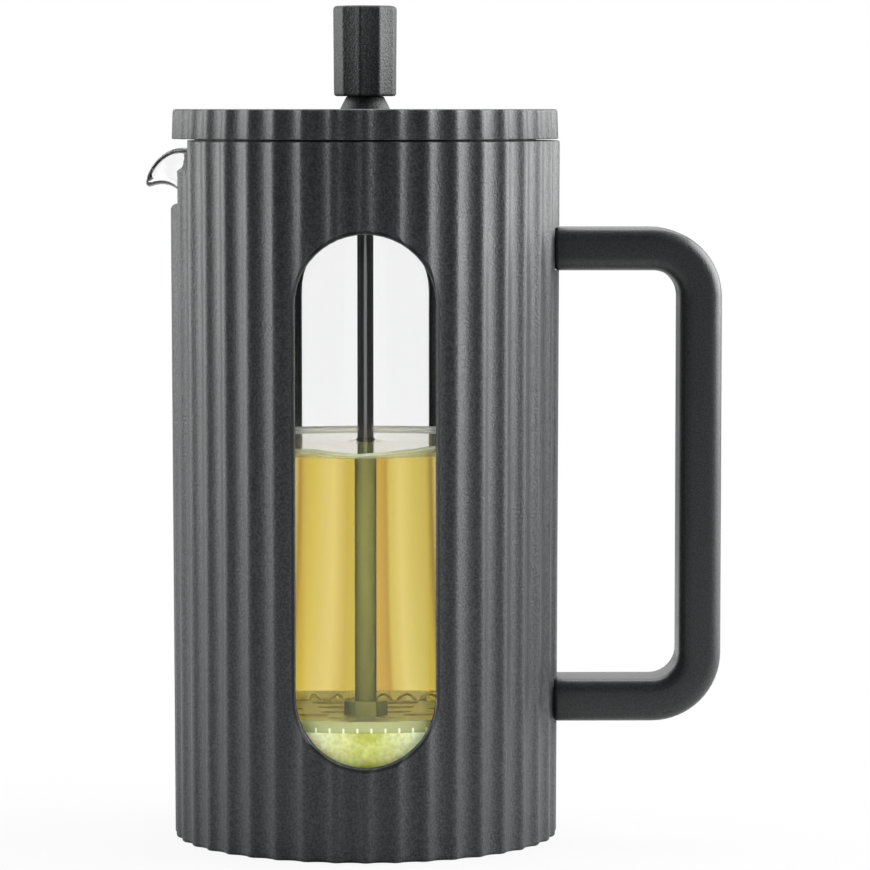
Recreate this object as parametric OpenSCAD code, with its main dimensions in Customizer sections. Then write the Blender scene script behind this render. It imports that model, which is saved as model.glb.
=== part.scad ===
// French press: fluted casing with two windows, glass beaker with a spout, lid and plunger.
// Millimetres, +Z up, origin at the middle of the base, spout towards -X, handle towards +X.

/* [Casing] */
// Radius over the ridges at the casing's top
casing_top_r = 55; // [50:0.5:62]
// How much smaller that radius is at the base
casing_draft = 0.7; // [0.2:0.1:1.5]
// Height of the casing
casing_h = 197.2; // [190:0.1:215]
// Thickness of the casing's wall between its bore and its ridges
casing_wall = 4; // [3.4:0.1:4.2]
// Thickness of the casing's floor
casing_floor = 3; // [2:0.5:6]
// Number of flutes round the casing and the lid
flute_count = 40; // [24:4:48]
// Depth of a flute below the ridges
flute_depth = 1.2; // [0.6:0.1:1.4]
// Width of a ridge's rounded crest
ridge_w = 3; // [2:0.2:4]

/* [Windows and notch] */
// Width of a window
window_w = 38.4; // [24:0.4:44]
// Height of a window's lowest point
window_low = 26.1; // [20:0.5:40]
// Height of the casing above a window's highest point
window_top_gap = 25.2; // [22:0.2:60]
// Gap between the spout's sides and the notch at the casing's top
notch_gap = 3.5; // [2.5:0.5:5]
// How far each side of the notch steps in towards its lower part
notch_step = 9.2; // [9:0.2:11]
// Depth of the notch below the casing's top
notch_depth = 18; // [18:0.1:22]
// Depth of the wide upper part of the notch
notch_mouth_h = 7; // [4:0.2:8]
// Height of the slope between the notch's wide and narrow parts
notch_slope_h = 4.4; // [3:0.2:8]

/* [Beaker] */
// Gap between the glass and the casing's bore
glass_gap = 0.5; // [0.4:0.1:1]
// Thickness of the glass wall
glass_wall = 2; // [1.6:0.1:2.4]
// Thickness of the glass bottom
glass_bottom = 3; // [2:0.5:5]
// Outer radius of the rounded corner at the bottom
glass_corner_r = 8; // [6:0.5:12]
// Depth of the glass rim below the casing's top
rim_below_casing = 2.2; // [1.8:0.1:3]
// Reach of the spout beyond the glass wall
spout_reach = 10.8; // [8:0.2:13]
// Drop of the spout's tip below the rim
spout_drop = 11.2; // [8:0.2:12]
// Height of the bent part of the wall under the spout
spout_h = 17.5; // [14:0.5:20]
// Width of the spout where it leaves the round wall
spout_w = 41; // [36:0.5:44]
// Thickness of the soft ring under the glass
cushion_h = 2; // [1:0.5:4]
// Width of the soft ring
cushion_w = 24; // [10:1:30]
// How far the soft ring reaches out under the glass's rounded corner
cushion_reach = 3; // [0:0.5:4]

/* [Handle] */
// Thickness of the handle's arms and grip
handle_thick = 12; // [11:0.5:15]
// Width of the handle, front to back
handle_w = 22; // [16:1:26]
// Room for the fingers between the casing's ridges and the grip
grip_gap = 33.5; // [28:0.5:42]
// Height of the lower arm's underside
handle_low = 33; // [25:1:45]
// Depth of the upper arm's top below the casing's top
handle_drop = 24.5; // [20:0.1:45]
// Outer radius of the handle's bends
handle_bend_r = 19.5; // [17:0.5:24]
// Radius of the handle's long edges
handle_edge_r = 3.5; // [2:0.5:4]
// Depth of the flat seats of the handle's arms below the casing's ridges
seat_depth = 1.8; // [1.4:0.1:1.9]
// Gap round an arm in its seat
seat_gap = 0.6; // [0.4:0.1:1]
// Radius of the handle screws' shanks
screw_r = 1.95; // [1.5:0.05:2.2]
// Length of the handle screws
screw_length = 18; // [12:1:22]
// Radius of the screws' countersunk heads
screw_head_r = 3.5; // [3:0.1:4]
// Depth of the countersunk heads
screw_head_h = 1.6; // [1.2:0.1:1.8]

/* [Lid] */
// Gap between the casing and the lid cap
lid_gap = 0.4; // [0.3:0.1:1]
// Height of the lid cap
cap_h = 8.4; // [7:0.2:12]
// How far the cap's lower edge stands back from the casing's ridges
cap_step = 0.4; // [0:0.1:0.8]
// How much smaller that radius is at the cap's top
cap_draft = 0.3; // [0.1:0.1:1]
// Thickness of the cap's top
cap_top = 2.4; // [1.6:0.2:3.2]
// Thickness of the cap's outer wall over its ridges
cap_wall = 3.6; // [3:0.1:4]
// Width of the cap's inner ribs
cap_rib_w = 2; // [1.5:0.5:3]
// Height of the plug below the glass rim
plug_h = 14; // [12:0.5:16]
// Thickness of the plug's skirt
plug_wall = 2.1; // [1.6:0.1:3]
// Gap between the plug's skirt and the glass
plug_gap = 0.5; // [0.3:0.1:0.8]
// Number of strainer slots in the skirt
strainer_count = 11; // [5:2:15]
// Width of a strainer slot and of the wall between two
strainer_w = 1.8; // [1:0.1:2.2]
// Height of a strainer slot
strainer_h = 6.5; // [4:0.5:7]
// Height of the skirt's edge below the strainer slots
strainer_low = 1.5; // [1:0.1:2]
// Height of the soft seal ring
seal_h = 4.2; // [3:0.2:4.4]
// Depth of the seal ring's groove in the skirt
seal_groove = 1; // [0.6:0.1:1.2]

/* [Collar] */
// Height of the collar above the lid
collar_h = 3.6; // [3:0.2:5]
// Radius of the collar at the lid
collar_r = 7.05; // [6:0.05:8]
// Radius of the collar's flat top
collar_top_r = 5; // [4.5:0.1:5.6]
// Height of the collar's lower cone
collar_cone_h = 1.3; // [0.8:0.1:1.8]
// How much narrower the collar is at the cone's top
collar_cone_in = 0.6; // [0.3:0.1:0.8]
// Width of the bevel round the collar's flat top
collar_bevel = 0.75; // [0.4:0.05:0.9]
// Outer radius of the collar's threaded sleeve
sleeve_r = 4.6; // [4.4:0.1:5]
// Outer radius of the guide bush
bush_r = 3.6; // [3.2:0.1:3.8]
// Thickness of the bush's flange
bush_flange = 0.8; // [0.6:0.1:1.2]
// Thickness of the collar nut
collar_nut_h = 3.4; // [2.4:0.2:4]
// Radius over the collar nut's corners
collar_nut_r = 8; // [7:0.2:9]
// Length of the sleeve that stands out below the collar nut
sleeve_end = 0.6; // [0.4:0.1:2]

/* [Plunger] */
// Radius of the rod
rod_r = 2.3; // [1.8:0.1:2.5]
// Height of the knob
knob_h = 25.4; // [20:0.2:35]
// Radius over the ridges at the knob's top
knob_top_r = 9.05; // [8.6:0.05:10.5]
// Radius over the ridges at the knob's underside
knob_low_r = 8.85; // [8.6:0.05:10]
// Number of flutes round the knob
knob_flutes = 10; // [8:1:14]
// Depth of a knob flute
knob_flute_depth = 0.5; // [0.4:0.1:1]
// Radius of a knob flute's hollow
knob_flute_r = 22; // [12:1:30]
// Radius of the knob's brass insert
insert_r = 4; // [3.5:0.1:4.4]
// Length of the knob's brass insert
insert_h = 12; // [8:0.5:16]
// Height of the filter's lower edge when it is pressed down
filter_z = 34.8; // [28:0.2:50]
// Height of the mesh's turned-up edge
mesh_h = 3.7; // [3.5:0.1:8]
// Thickness of the mesh
mesh_t = 0.3; // [0.2:0.05:0.5]
// Gap between the mesh's edge and the glass
mesh_gap = 0.35; // [0.3:0.05:0.5]
// Radius of the edge spring's coils
spring_wire_r = 1.4; // [1:0.1:1.8]
// Thickness of the spiral plate
spiral_plate_t = 0.8; // [0.6:0.1:1.2]
// Thickness of the cross plate
cross_plate_t = 1; // [0.6:0.1:1.5]
// Height of the cross plate's threaded boss
boss_h = 3; // [2.5:0.5:5]
// Outer radius of that boss
boss_r = 4.5; // [4:0.1:6]
// Radius of the holes in the spiral plate
plate_hole_r = 3.5; // [2.5:0.1:4]
// Radius of the holes in the cross plate
cross_hole_r = 4.5; // [3.5:0.1:5]
// Width of the metal left between two rings of holes
plate_web = 3.5; // [2.5:0.1:5]
// Thickness of the filter nut
filter_nut_h = 4; // [3:0.5:6]
// Radius over the filter nut's corners
filter_nut_r = 4.6; // [4:0.1:6]

/* [Hidden] */
$fn = 96;

// Clearance between pieces that are held in one another, and of running fits
fit = 0.05;
// Clearance round pieces that hang free of one another
loose = 0.4;
// How far a cutter reaches past the face that it cuts
past = 1;

casing_base_r = casing_top_r - casing_draft;
casing_bore_r = casing_top_r - casing_wall;
window_high = casing_h - window_top_gap;
glass_z = casing_floor + cushion_h;
rim_z = casing_h - rim_below_casing;
glass_r = casing_bore_r - glass_gap;
glass_in_r = glass_r - glass_wall;
glass_floor_z = glass_z + glass_bottom;
spout_z = rim_z - spout_h;
// Half the angle that the spout takes out of the wall
spout_half_angle = asin(spout_w / 2 / glass_r);
// How sharply the rim turns down into the spout at its sides
spout_soft = 0.15;

cap_low_r = casing_top_r - cap_step;
cap_inner_r = cap_low_r - cap_wall;
cap_z = casing_h + lid_gap;
cap_high_z = cap_z + cap_h;
cap_under_z = cap_high_z - cap_top;
plug_z = rim_z - plug_h;
plug_r = glass_in_r - plug_gap;
plug_in_r = plug_r - plug_wall;
disc_high_z = casing_h;
disc_r = glass_r - 6 * fit;
seal_high_z = rim_z - 2 * fit;
seal_low_z = seal_high_z - seal_h;
groove_r = plug_r - seal_groove;
groove_low_z = seal_low_z - 2 * fit;

knob_z = cap_high_z + collar_h;
sleeve_low_z = rim_z - collar_nut_h - sleeve_end;
// Thickness of the collar's top round the rod, and of the wall over the rod's end in the insert
end_wall = 1;
rod_hole_r = rod_r + fit;
insert_z = knob_z + loose;
rod_high_z = insert_z + insert_h - end_wall;
// Turn that puts one of the knob's ridges 9 degrees left of the front
knob_turn = -99;

mesh_r = glass_in_r - mesh_gap;
plate_z = filter_z + mesh_t;
spring_r = mesh_r - mesh_t - 3 * fit - spring_wire_r;
spiral_plate_r = spring_r - spring_wire_r - loose;
cross_plate_r = spiral_plate_r - loose;
filter_nut_z = plate_z + spiral_plate_t;
cross_plate_z = filter_z - cross_plate_t;
boss_z = cross_plate_z - boss_h;
// The boss is closed below the rod's end
rod_low_z = boss_z + end_wall;

handle_seat_x = casing_top_r - seat_depth;
handle_reach = casing_top_r + grip_gap + handle_thick;
upper_arm_z = casing_h - handle_drop - handle_thick / 2;
lower_arm_z = handle_low + handle_thick / 2;
bend_mid_r = handle_bend_r - handle_thick / 2;
bend_x = handle_reach - handle_bend_r;
screw_head_x = casing_bore_r + 3 * fit;

// How far the fluted wall lies inside the ridges, at a distance x along it from a ridge's middle.
// A crest arc and a hollow arc meet at one slope.
function sink(x, half_pitch) = let (
    slope = 2 * atan(flute_depth / half_pitch),
    crest_r = ridge_w / 2 / sin(slope),
    hollow_half = half_pitch - ridge_w / 2,
    hollow_r = hollow_half / sin(slope))
    x < ridge_w / 2 ? crest_r - sqrt(crest_r * crest_r - x * x)
    : flute_depth - hollow_r + sqrt(hollow_r * hollow_r - pow(half_pitch - x, 2));

function fluted_outline(r) = let (
    half_pitch = PI * r / flute_count,
    crest = [for (i = [0 : 2]) ridge_w / 2 * i / 3],
    hollow = [for (i = [0 : 4]) ridge_w / 2 + (half_pitch - ridge_w / 2) * i / 4],
    half = concat(crest, hollow),
    last = len(half) - 1,
    both = concat([for (i = [last - 1 : -1 : 1]) -half[i]], half))
    [for (i = [0 : flute_count - 1]) for (x = both)
        let (a = i * 360 / flute_count + x / r * 180 / PI, at = r - sink(abs(x), half_pitch))
            at * [cos(a), sin(a)]];

// A solid fluted drum whose radius over the ridges goes from low_r to high_r
module fluted_drum(low_r, high_r, z, h) {
    translate([0, 0, z])
        linear_extrude(h, scale = high_r / low_r)
            polygon(fluted_outline(low_r));
}

module ring(outer_r, inner_r, z, h) {
    translate([0, 0, z])
        difference() {
            cylinder(r = outer_r, h = h);
            translate([0, 0, -past])
                cylinder(r = inner_r, h = h + 2 * past);
        }
}

// A slot with round ends, cut along Y
module window_cut() {
    end_r = window_w / 2;
    for (z = [window_low + end_r, window_high - end_r])
        translate([0, 0, z])
            rotate([90, 0, 0])
                cylinder(r = end_r, h = 4 * casing_top_r, center = true);
    translate([-end_r, -2 * casing_top_r, window_low + end_r])
        cube([window_w, 4 * casing_top_r, window_high - window_low - window_w]);
}

// The notch for the spout, cut from the middle outwards along -X
module notch_cut() {
    top_half_w = spout_w / 2 + notch_gap;
    mouth_half_w = top_half_w - notch_step / 5;
    low_half_w = top_half_w - notch_step;
    low = casing_h - notch_depth;
    mouth = casing_h - notch_mouth_h;
    right = [[low_half_w, low], [low_half_w, mouth - notch_slope_h], [mouth_half_w, mouth],
             [top_half_w, casing_h + past]];
    left = [for (i = [3 : -1 : 0]) [-right[i][0], right[i][1]]];
    rotate([90, 0, -90])
        linear_extrude(casing_top_r + past)
            polygon(concat(right, left));
}

module screw_hole(z) {
    translate([casing_bore_r - 2 * past, 0, z])
        rotate([0, 90, 0])
            cylinder(r = screw_r + 3 * fit, h = handle_seat_x - casing_bore_r + 3 * past);
    translate([screw_head_x - 4 * fit, 0, z])
        rotate([0, 90, 0])
            cylinder(r1 = screw_head_r + 5 * fit, r2 = screw_r + fit, h = screw_head_h + 4 * fit);
}

module seat_cut(z) {
    seat_w = handle_w + 2 * seat_gap;
    seat_h = handle_thick + 2 * seat_gap;
    translate([handle_seat_x, -seat_w / 2, z - seat_h / 2])
        cube([casing_top_r, seat_w, seat_h]);
}

module casing() {
    color("#3b3d3e")
        difference() {
            fluted_drum(casing_base_r, casing_top_r, 0, casing_h);
            translate([0, 0, casing_floor])
                cylinder(r = casing_bore_r, h = casing_h);
            window_cut();
            notch_cut();
            for (z = [upper_arm_z, lower_arm_z]) {
                seat_cut(z);
                screw_hole(z);
            }
        }
}

module base_cushion() {
    outer_r = glass_r - glass_corner_r + cushion_reach;
    color("#8d8f90")
        ring(outer_r, outer_r - cushion_w, casing_floor, cushion_h);
}

module handle_section() {
    flat_x = handle_thick / 2 - handle_edge_r;
    flat_y = handle_w / 2 - handle_edge_r;
    square([2 * flat_x, handle_w], center = true);
    square([handle_thick, 2 * flat_y], center = true);
    for (x = [-flat_x, flat_x])
        for (y = [-flat_y, flat_y])
            translate([x, y])
                circle(r = handle_edge_r, $fn = 32);
}

// An arm along +X from the casing to the bend
module handle_arm(z) {
    translate([handle_seat_x, 0, z])
        rotate([0, 90, 0])
            linear_extrude(bend_x - handle_seat_x)
                handle_section();
}

module handle_bend(z, turn) {
    translate([bend_x, 0, z])
        rotate([90, turn, 0])
            rotate_extrude(angle = 90)
                translate([bend_mid_r, 0])
                    handle_section();
}

module handle() {
    low_z = lower_arm_z + bend_mid_r;
    high_z = upper_arm_z - bend_mid_r;
    color("#2f3031")
        difference() {
            union() {
                handle_arm(upper_arm_z);
                handle_arm(lower_arm_z);
                handle_bend(high_z, 0);
                handle_bend(low_z, 90);
                translate([bend_x + bend_mid_r, 0, low_z])
                    linear_extrude(high_z - low_z)
                        handle_section();
            }
            for (z = [upper_arm_z, lower_arm_z])
                translate([handle_seat_x - past, 0, z])
                    rotate([0, 90, 0])
                        cylinder(r = screw_r + fit, h = screw_length + past);
        }
}

module handle_screw(z) {
    color("#a9abac")
        translate([screw_head_x, 0, z])
            rotate([0, 90, 0])
                difference() {
                    union() {
                        cylinder(r1 = screw_head_r, r2 = screw_r, h = screw_head_h);
                        cylinder(r = screw_r, h = screw_length);
                    }
                    translate([0, 0, -past])
                        cylinder(r = screw_r / 2, h = past + screw_head_h / 2, $fn = 6);
                }
}

module upper_handle_screw() {
    handle_screw(upper_arm_z);
}

module lower_handle_screw() {
    handle_screw(lower_arm_z);
}

// The spout: the wall above spout_z is bent outwards and down. u goes from 0 at the start of the
// bend to 1 at the rim, and turn is the angle from the middle of the spout.
function bulge(turn) = abs(turn) < spout_half_angle ? pow(cos(90 * turn / spout_half_angle), 2) : 0;
function narrowed(turn, u) = pow(bulge(turn), 1 + 3 * (1 - u));
function reach_share(u) = 1.5 * u * u - 0.5 * u * u * u;
function fall(w) = (sqrt(1 + spout_soft * spout_soft) - sqrt(1 - w * w + spout_soft * spout_soft))
                   / (sqrt(1 + spout_soft * spout_soft) - spout_soft);
function bent(turn, u) = let (w = narrowed(turn, u), v = max(0, u))
    [glass_r - 0.1 + spout_reach * w * reach_share(v), spout_z + spout_h * u - spout_drop * fall(w) * pow(v, 2.3)];
function along(turn, u) = bent(turn, min(1, u + 0.01)) - bent(turn, u - 0.01);
function inwards(turn, u) = let (t = along(turn, u)) [-t[1], t[0]] / norm(t);
function spout_point(turn, u, depth) = let (p = bent(turn, u) + depth * inwards(turn, u))
    [-p[0] * cos(turn), -p[0] * sin(turn), min(p[1], rim_z)];

module spout() {
    across = 32;
    levels = 9;
    span = spout_half_angle + 1;
    turns = [for (i = [0 : across]) -span + 2 * span * i / across];
    heights = [for (j = [0 : levels]) j == 0 ? -0.06 : 0.02 + 0.98 * (j - 1) / (levels - 1)];
    sheet = glass_wall - 0.2;
    row = levels + 1;
    side = (across + 1) * row;
    outside = [for (turn = turns) for (u = heights) spout_point(turn, u, 0)];
    inside = [for (turn = turns) for (u = heights) spout_point(turn, u, sheet)];
    skin = [for (i = [0 : across - 1]) for (j = [0 : levels - 1])
        let (a = i * row + j, b = a + row) each [[a, a + 1, b], [b, a + 1, b + 1]]];
    lining = [for (f = skin) [f[0] + side, f[2] + side, f[1] + side]];
    rims = [for (i = [0 : across - 1]) for (j = [0, levels])
        let (a = i * row + j, b = a + row, s = side)
            each j == 0 ? [[a, b, b + s], [a, b + s, a + s]] : [[b, a, b + s], [a, a + s, b + s]]];
    ends = [for (j = [0 : levels - 1]) for (i = [0, across])
        let (a = i * row + j, b = a + 1, s = side)
            each i == 0 ? [[b, a, b + s], [a, a + s, b + s]] : [[a, b, b + s], [a, b + s, a + s]]];
    polyhedron(points = concat(outside, inside), faces = concat(skin, lining, rims, ends));
}

module beaker_profile() {
    steps = 6;
    in_corner_r = glass_corner_r - glass_wall;
    out_c = [glass_r - glass_corner_r, glass_z + glass_corner_r];
    in_c = [glass_in_r - in_corner_r, glass_floor_z + in_corner_r];
    polygon(concat(
        [[0, glass_z]],
        [for (i = [0 : steps]) let (a = -90 + 90 * i / steps) out_c + glass_corner_r * [cos(a), sin(a)]],
        [[glass_r, rim_z], [glass_in_r, rim_z]],
        [for (i = [0 : steps]) let (a = -90 * i / steps) in_c + in_corner_r * [cos(a), sin(a)]],
        [[0, glass_floor_z]]));
}

module beaker() {
    half = spout_half_angle - 0.5;
    far = 2 * glass_r;
    color("#dfe8ea", 0.4)
        union() {
            difference() {
                rotate_extrude()
                    beaker_profile();
                translate([0, 0, spout_z])
                    linear_extrude(spout_h + past)
                        polygon([[0, 0], [-far * cos(half), far * sin(half)], [-far * cos(half), -far * sin(half)]]);
            }
            spout();
        }
}

module lid_seal() {
    color("#c9cccd")
        ring(glass_in_r - fit, groove_r + fit, seal_low_z, seal_h);
}

module lid_cap() {
    rib_h = cap_under_z - disc_high_z;
    color("#3b3d3e")
        union() {
            difference() {
                fluted_drum(cap_low_r, cap_low_r - cap_draft, cap_z, cap_h);
                translate([0, 0, cap_z - past])
                    cylinder(r = cap_inner_r, h = cap_under_z - cap_z + past);
                translate([0, 0, cap_z])
                    cylinder(r = sleeve_r + fit, h = cap_h + past);
            }
            ring(disc_r - cap_rib_w, disc_r - 2 * cap_rib_w, disc_high_z, rib_h);
            ring(collar_nut_r, sleeve_r + fit, disc_high_z, rib_h);
        }
}

module lid_insert() {
    slot_angle = 2 * asin(strainer_w / plug_r);
    color("#46484a")
        difference() {
            union() {
                translate([0, 0, rim_z])
                    cylinder(r = disc_r, h = disc_high_z - rim_z);
                translate([0, 0, groove_low_z])
                    cylinder(r = groove_r, h = rim_z - groove_low_z);
                translate([0, 0, plug_z])
                    cylinder(r = plug_r, h = groove_low_z - plug_z);
            }
            translate([0, 0, plug_z - past])
                cylinder(r = plug_in_r, h = plug_h + past);
            translate([0, 0, rim_z - past])
                cylinder(r = sleeve_r + fit, h = disc_high_z - rim_z + 2 * past);
            for (i = [0 : strainer_count - 1])
                rotate([0, 0, 180 + (i - (strainer_count - 1) / 2) * slot_angle])
                    translate([plug_in_r - past, -strainer_w / 2, plug_z + strainer_low])
                        cube([plug_wall + 2 * past, strainer_w, strainer_h]);
        }
}

module lid_collar() {
    color("#2f3031")
        difference() {
            union() {
                rotate_extrude()
                    polygon([[0, cap_high_z], [collar_r, cap_high_z],
                             [collar_r - collar_cone_in, cap_high_z + collar_cone_h],
                             [collar_top_r + collar_bevel, knob_z - collar_bevel],
                             [collar_top_r, knob_z], [0, knob_z]]);
                translate([0, 0, sleeve_low_z])
                    cylinder(r = sleeve_r, h = cap_high_z - sleeve_low_z + past);
            }
            translate([0, 0, sleeve_low_z - past])
                cylinder(r = bush_r + fit, h = knob_z - end_wall - sleeve_low_z + past);
            translate([0, 0, sleeve_low_z])
                cylinder(r = rod_r + loose, h = knob_z - sleeve_low_z + past);
        }
}

module collar_nut() {
    color("#b5b7b8")
        translate([0, 0, rim_z - collar_nut_h])
            difference() {
                cylinder(r = collar_nut_r, h = collar_nut_h, $fn = 6);
                translate([0, 0, -past])
                    cylinder(r = sleeve_r + fit, h = collar_nut_h + 2 * past);
            }
}

module guide_bush() {
    color("#e4e2da")
        difference() {
            union() {
                translate([0, 0, sleeve_low_z])
                    cylinder(r = bush_r, h = knob_z - end_wall - 4 * fit - sleeve_low_z);
                translate([0, 0, sleeve_low_z - bush_flange])
                    cylinder(r = sleeve_r, h = bush_flange);
            }
            translate([0, 0, sleeve_low_z - bush_flange - past])
                cylinder(r = rod_hole_r, h = knob_z);
        }
}

// The knob's outline: shallow hollows between its ridges, with a hollow's middle at angle 0
function knob_outline(r) = let (
    pitch = 360 / knob_flutes,
    centre = r - knob_flute_depth + knob_flute_r)
    [for (i = [0 : knob_flutes - 1]) for (j = [-3 : 2])
        let (a = j * pitch / 6,
             hollow = centre * cos(a) - sqrt(pow(knob_flute_r, 2) - pow(centre * sin(a), 2)))
            min(r, hollow) * [cos(a + i * pitch), sin(a + i * pitch)]];

module knob() {
    color("#2f3031")
        difference() {
            translate([0, 0, knob_z])
                rotate(knob_turn + 180 / knob_flutes)
                    linear_extrude(knob_h, scale = knob_top_r / knob_low_r)
                        polygon(knob_outline(knob_low_r));
            translate([0, 0, knob_z - past])
                cylinder(r = insert_r + fit, h = insert_z + insert_h - knob_z + past);
        }
}

module knob_insert() {
    color("#c9a64a")
        translate([0, 0, insert_z])
            difference() {
                cylinder(r = insert_r, h = insert_h);
                translate([0, 0, -past])
                    cylinder(r = rod_hole_r, h = rod_high_z - insert_z + fit + past);
            }
}

module plunger_rod() {
    color("#c4c7c9")
        translate([0, 0, rod_low_z])
            cylinder(r = rod_r, h = rod_high_z - rod_low_z);
}

module filter_nut() {
    color("#b5b7b8")
        translate([0, 0, filter_nut_z])
            difference() {
                cylinder(r = filter_nut_r, h = filter_nut_h, $fn = 6);
                translate([0, 0, -past])
                    cylinder(r = rod_hole_r, h = filter_nut_h + 2 * past);
            }
}

// Rings of round holes through a plate, between two radii
module perforations(z, h, inner_r, outer_r, hole_r) {
    pitch = 2 * hole_r + plate_web;
    rings = floor((outer_r - inner_r) / pitch);
    for (k = [0 : rings - 1]) {
        r = inner_r + (k + 0.5) * (outer_r - inner_r) / rings;
        count = floor(2 * PI * r / pitch);
        for (i = [0 : count - 1])
            rotate([0, 0, i * 360 / count])
                translate([r, 0, z - past])
                    cylinder(r = hole_r, h = h + 2 * past, $fn = 32);
    }
}

module spiral_plate() {
    color("#c4c7c9")
        difference() {
            ring(spiral_plate_r, rod_hole_r, plate_z, spiral_plate_t);
            perforations(plate_z, spiral_plate_t, filter_nut_r, spiral_plate_r, plate_hole_r);
        }
}

module coil_spring() {
    color("#d0d3d5")
        translate([0, 0, plate_z + spring_wire_r])
            rotate_extrude()
                translate([spring_r, 0])
                    circle(r = spring_wire_r, $fn = 32);
}

module filter_mesh() {
    color("#b9bec0")
        difference() {
            translate([0, 0, filter_z])
                cylinder(r = mesh_r, h = mesh_h);
            translate([0, 0, plate_z])
                cylinder(r = mesh_r - mesh_t, h = mesh_h);
            translate([0, 0, filter_z - past])
                cylinder(r = rod_hole_r, h = mesh_h);
        }
}

module cross_plate() {
    color("#c4c7c9")
        difference() {
            union() {
                translate([0, 0, cross_plate_z])
                    cylinder(r = cross_plate_r, h = cross_plate_t);
                translate([0, 0, boss_z])
                    cylinder(r = boss_r, h = boss_h + cross_plate_t);
            }
            translate([0, 0, rod_low_z - 2 * fit])
                cylinder(r = rod_hole_r, h = filter_z);
            perforations(cross_plate_z, cross_plate_t, boss_r, cross_plate_r, cross_hole_r);
        }
}

casing();
base_cushion();
handle();
upper_handle_screw();
lower_handle_screw();
beaker();
lid_seal();
lid_cap();
lid_insert();
lid_collar();
collar_nut();
guide_bush();
knob();
knob_insert();
plunger_rod();
filter_nut();
spiral_plate();
coil_spring();
filter_mesh();
cross_plate();
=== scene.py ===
"""French press in a fluted casing: its finished surfaces, drink and stage. Metres, +Z up."""

import math

import bmesh
import bpy
from bpy.props import FloatProperty, FloatVectorProperty, IntProperty, PointerProperty
from mathutils import Matrix, Vector


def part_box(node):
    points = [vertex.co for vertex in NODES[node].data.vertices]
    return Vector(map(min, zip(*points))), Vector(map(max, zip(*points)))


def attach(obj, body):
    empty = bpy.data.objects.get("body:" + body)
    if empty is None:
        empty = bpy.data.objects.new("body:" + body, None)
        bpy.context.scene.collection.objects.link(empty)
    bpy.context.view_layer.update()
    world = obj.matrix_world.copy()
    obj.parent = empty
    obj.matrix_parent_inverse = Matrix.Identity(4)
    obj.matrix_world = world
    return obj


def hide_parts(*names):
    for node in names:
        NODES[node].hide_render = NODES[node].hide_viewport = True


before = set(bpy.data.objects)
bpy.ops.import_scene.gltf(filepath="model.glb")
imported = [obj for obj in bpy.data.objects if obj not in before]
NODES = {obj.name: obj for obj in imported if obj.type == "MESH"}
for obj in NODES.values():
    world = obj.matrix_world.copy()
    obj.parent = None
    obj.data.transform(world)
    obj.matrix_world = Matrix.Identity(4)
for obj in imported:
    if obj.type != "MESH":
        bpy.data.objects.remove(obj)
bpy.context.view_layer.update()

bl_info = {
    "name": "French Press",
    "version": (1, 0, 0),
    "blender": (4, 5, 0),
    "location": "3D View > Sidebar > Press",
    "description": "Dresses a glass press in its fluted casing, lid, plunger, tea and leaves",
    "category": "Add Mesh",
}

MM = 0.001


# ---------------------------------------------------------------- sizes and colours


def length(name, text, mm):
    return FloatProperty(name=name, description=text, default=mm * MM, unit="LENGTH", precision=5)


def colour(name, text, default):
    return FloatVectorProperty(
        name=name, description=text, default=default, subtype="COLOR", size=3, min=0.0, max=1.0
    )


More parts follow.
